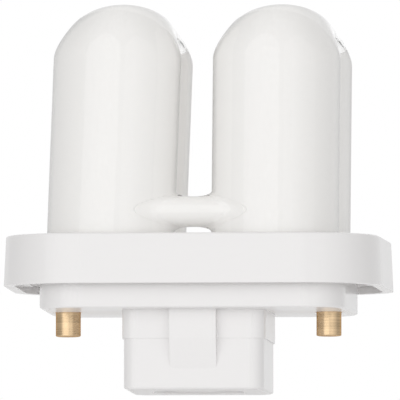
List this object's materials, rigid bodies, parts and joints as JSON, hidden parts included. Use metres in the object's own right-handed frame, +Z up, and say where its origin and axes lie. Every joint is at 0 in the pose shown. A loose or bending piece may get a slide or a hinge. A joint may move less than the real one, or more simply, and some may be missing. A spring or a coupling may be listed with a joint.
{
  "type": "compact fluorescent bulb",
  "caption": "Plug-in compact fluorescent bulb: U-shaped glass tubes joined by a bridge, in an oblong plastic cap with contact pins and a centre post that holds the starter.",
  "frame": {"origin": "midway between the contact pins, on the face of the cap that seats on a lamp holder", "axes": "+Z up to the crowns of the tubes, X from pin to pin, -Y towards the side with the glass bridge"},
  "size_m": [0.0334, 0.0282, 0.1068],
  "materials": {
    "tube_glass": "clear glass tube with a white coating inside",
    "white_plastic": "moulded white plastic, glossy",
    "pin_brass": "turned brass, plated pale",
    "cement": "dry white cement",
    "lead_wire": "drawn nickel wire",
    "cathode_coil": "tungsten coil with a grey-white coating",
    "bottle_glass": "clear glass",
    "capacitor_case": "dipped resin"
  },
  "bodies": {
    "root": {"glass_burner": "tube_glass", "collar": "white_plastic", "base_housing": "white_plastic", "contact_pin_left": "pin_brass", "contact_pin_right": "pin_brass", "leg_cement_front_left": "cement", "leg_cement_front_right": "cement", "leg_cement_rear_left": "cement", "leg_cement_rear_right": "cement", "pin_wire_left": "lead_wire", "pin_wire_right": "lead_wire", "starter_wire_left": "lead_wire", "starter_wire_right": "lead_wire", "capacitor_lead_left": "lead_wire", "capacitor_lead_right": "lead_wire", "cathode_left": "cathode_coil", "cathode_right": "cathode_coil", "starter_bulb": "bottle_glass", "capacitor": "capacitor_case"}
  },
  "joints": []
}
